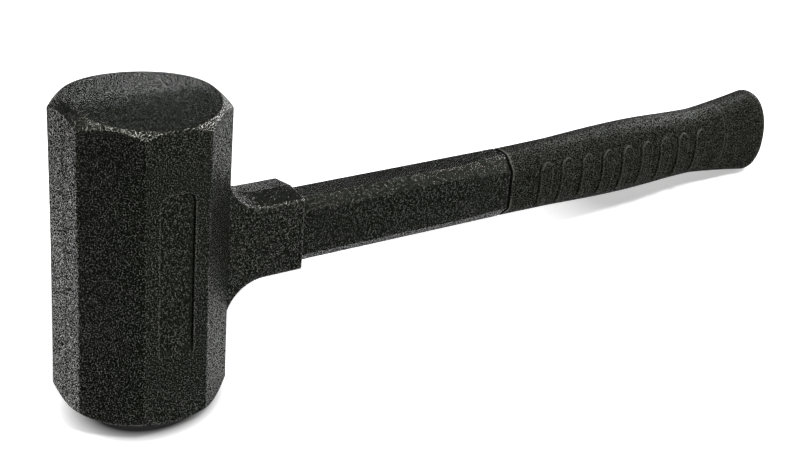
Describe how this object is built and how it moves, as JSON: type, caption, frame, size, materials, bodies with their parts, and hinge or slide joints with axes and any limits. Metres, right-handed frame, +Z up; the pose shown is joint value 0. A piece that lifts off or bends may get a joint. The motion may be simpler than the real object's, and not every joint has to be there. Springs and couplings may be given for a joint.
{
  "type": "dead blow hammer",
  "caption": "Dead blow hammer: octagonal urethane head round a canister of sliding shot, bevelled steel-cored shaft and ribbed oval grip with a flared butt.",
  "frame": {"origin": "on the surface that the hammer lies on, under the middle of its bounding box", "axes": "+X along the hammer from the head to the butt, +Y to its side, +Z up from the surface; the hammer lies tipped 7.3 degrees onto its butt, so the head's own axis leans towards +X"},
  "size_m": [0.4162, 0.07, 0.1459],
  "materials": {
    "head_urethane": "moulded urethane with a fine pebble grain, semi-gloss",
    "shaft_urethane": "moulded urethane with a fine pebble grain, semi-gloss",
    "grip_urethane": "moulded urethane with a fine pebble grain, satin",
    "butt_urethane": "moulded urethane with a fine pebble grain, satin",
    "tube_steel": "drawn steel tube, hidden in the head",
    "lid_steel": "pressed steel lids, hidden in the head",
    "shot_steel": "bright steel shot, hidden in the canister",
    "socket_steel": "turned steel, hidden in the neck",
    "pin_steel": "ground steel pin, hidden in the neck",
    "rod_steel": "plain steel bar, hidden in the handle",
    "washer_steel": "plain steel washer, hidden in the butt"
  },
  "bodies": {
    "hammer": {"head_casing": "head_urethane", "shaft_sleeve": "shaft_urethane", "grip_sleeve": "grip_urethane", "butt_cap": "butt_urethane", "canister_tube": "tube_steel", "canister_cap_lower": "lid_steel", "canister_cap_upper": "lid_steel", "rod_socket": "socket_steel", "socket_pin": "pin_steel", "handle_rod": "rod_steel", "anchor_washer": "washer_steel"},
    "shot": {"shot_charge": "shot_steel"}
  },
  "joints": [
    {"name": "shot_slide", "type": "slide", "parent": "hammer", "child": "shot", "axis": [0.127, 0, 0.9919], "range_m": [0, 0.037]}
  ]
}
